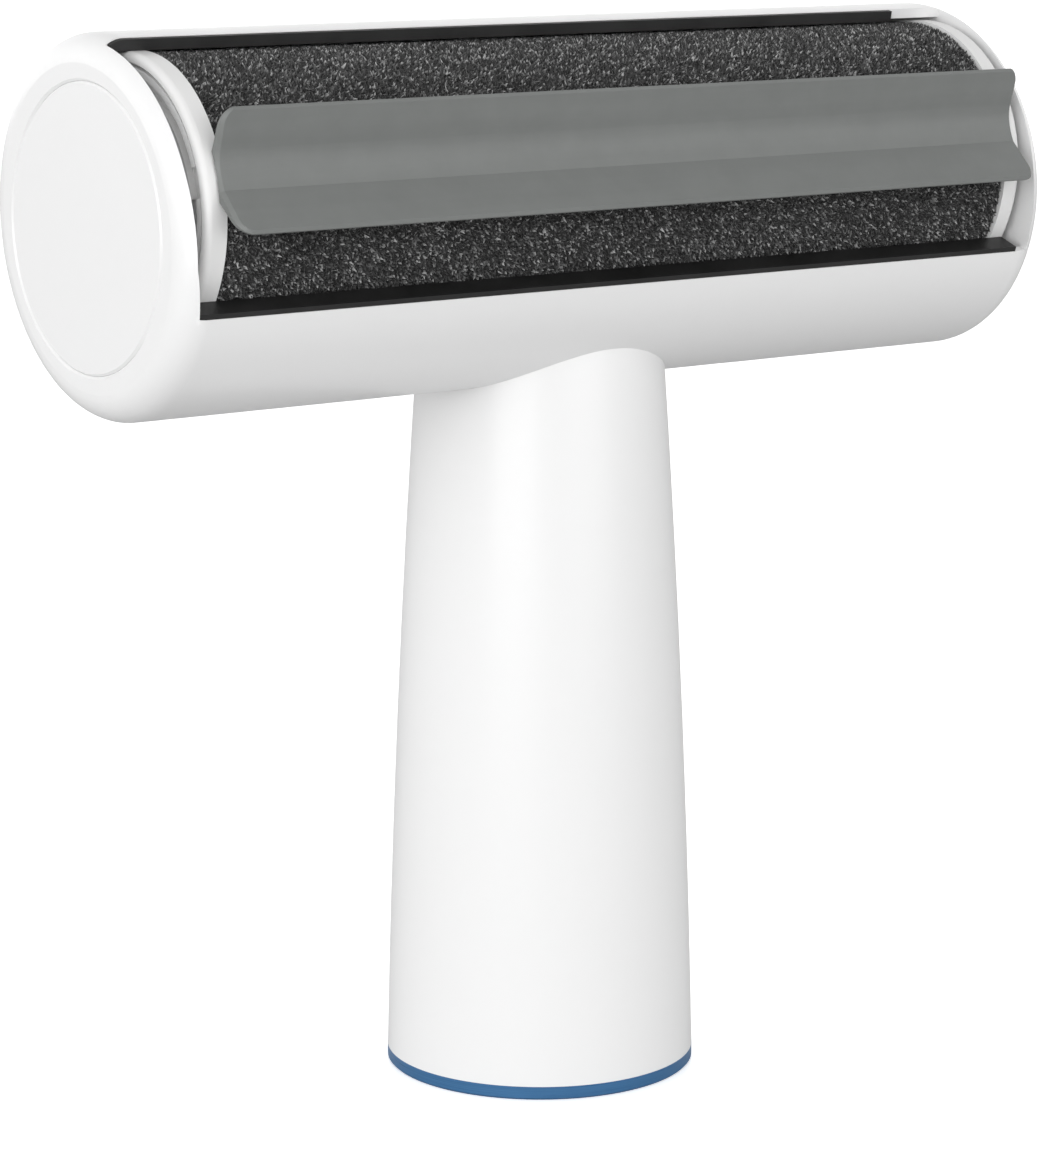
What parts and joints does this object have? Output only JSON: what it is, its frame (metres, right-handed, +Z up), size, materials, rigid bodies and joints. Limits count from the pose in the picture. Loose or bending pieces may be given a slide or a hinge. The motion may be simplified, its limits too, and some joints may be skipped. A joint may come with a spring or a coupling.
{
  "type": "pet hair roller",
  "caption": "T-shaped hair and lint roller: round tapered handle under a barrel with a windowed rocking drum of bristle pads and a V wiper, rear door and release button.",
  "frame": {"origin": "centre of the handle's resting face, on the surface it stands on", "axes": "+X along the barrel, -Y towards the window and wiper, +Z up the handle"},
  "size_m": [0.1894, 0.0705, 0.1938],
  "materials": {
    "white_shell": "gloss",
    "drum_white": "gloss",
    "lip_rubber": "matt",
    "bristle": "napped",
    "wiper_grey": "satin",
    "ring_blue": "satin metallic",
    "inner_plastic": "matt",
    "foot_rubber": "matt",
    "steel": "plated",
    "bush_plastic": "matt"
  },
  "bodies": {
    "housing": {"barrel_shell": "white_shell", "end_disc_left": "white_shell", "end_disc_right": "white_shell", "axle_bush_left": "bush_plastic", "axle_bush_right": "bush_plastic", "lip_upper": "lip_rubber", "lip_lower": "lip_rubber", "hinge_pins": "steel", "button_spring": "steel", "handle_shell": "white_shell", "neck_plate": "inner_plastic", "neck_screws": "steel", "base_ring": "ring_blue", "base_plate": "inner_plastic", "base_screws": "steel", "base_pad": "foot_rubber"},
    "drum": {"drum_core": "inner_plastic", "bristle_pad_upper": "bristle", "bristle_pad_lower": "bristle", "wiper": "wiper_grey", "drum_flange_left": "drum_white", "drum_flange_right": "drum_white", "axle_pin_left": "steel", "axle_pin_right": "steel", "flange_screws": "steel"},
    "door": {"chamber_door": "white_shell"},
    "button": {"release_button": "drum_white"}
  },
  "joints": [
    {"name": "drum_rock", "type": "hinge", "parent": "housing", "child": "drum", "pos_m": [0, -0.0046, 0.1648], "axis": [-1, 0, 0], "range_deg": [-10, 37]},
    {"name": "door_hinge", "type": "hinge", "parent": "housing", "child": "door", "pos_m": [0, 0.0189, 0.18912], "axis": [1, 0, 0], "range_deg": [0, 100]},
    {"name": "button_press", "type": "slide", "parent": "housing", "child": "button", "axis": [0, -1, 0], "range_m": [0, 0.0025], "stiffness_N_per_m": 600, "springref_m": -0.002, "deforming": ["button_spring"]}
  ]
}
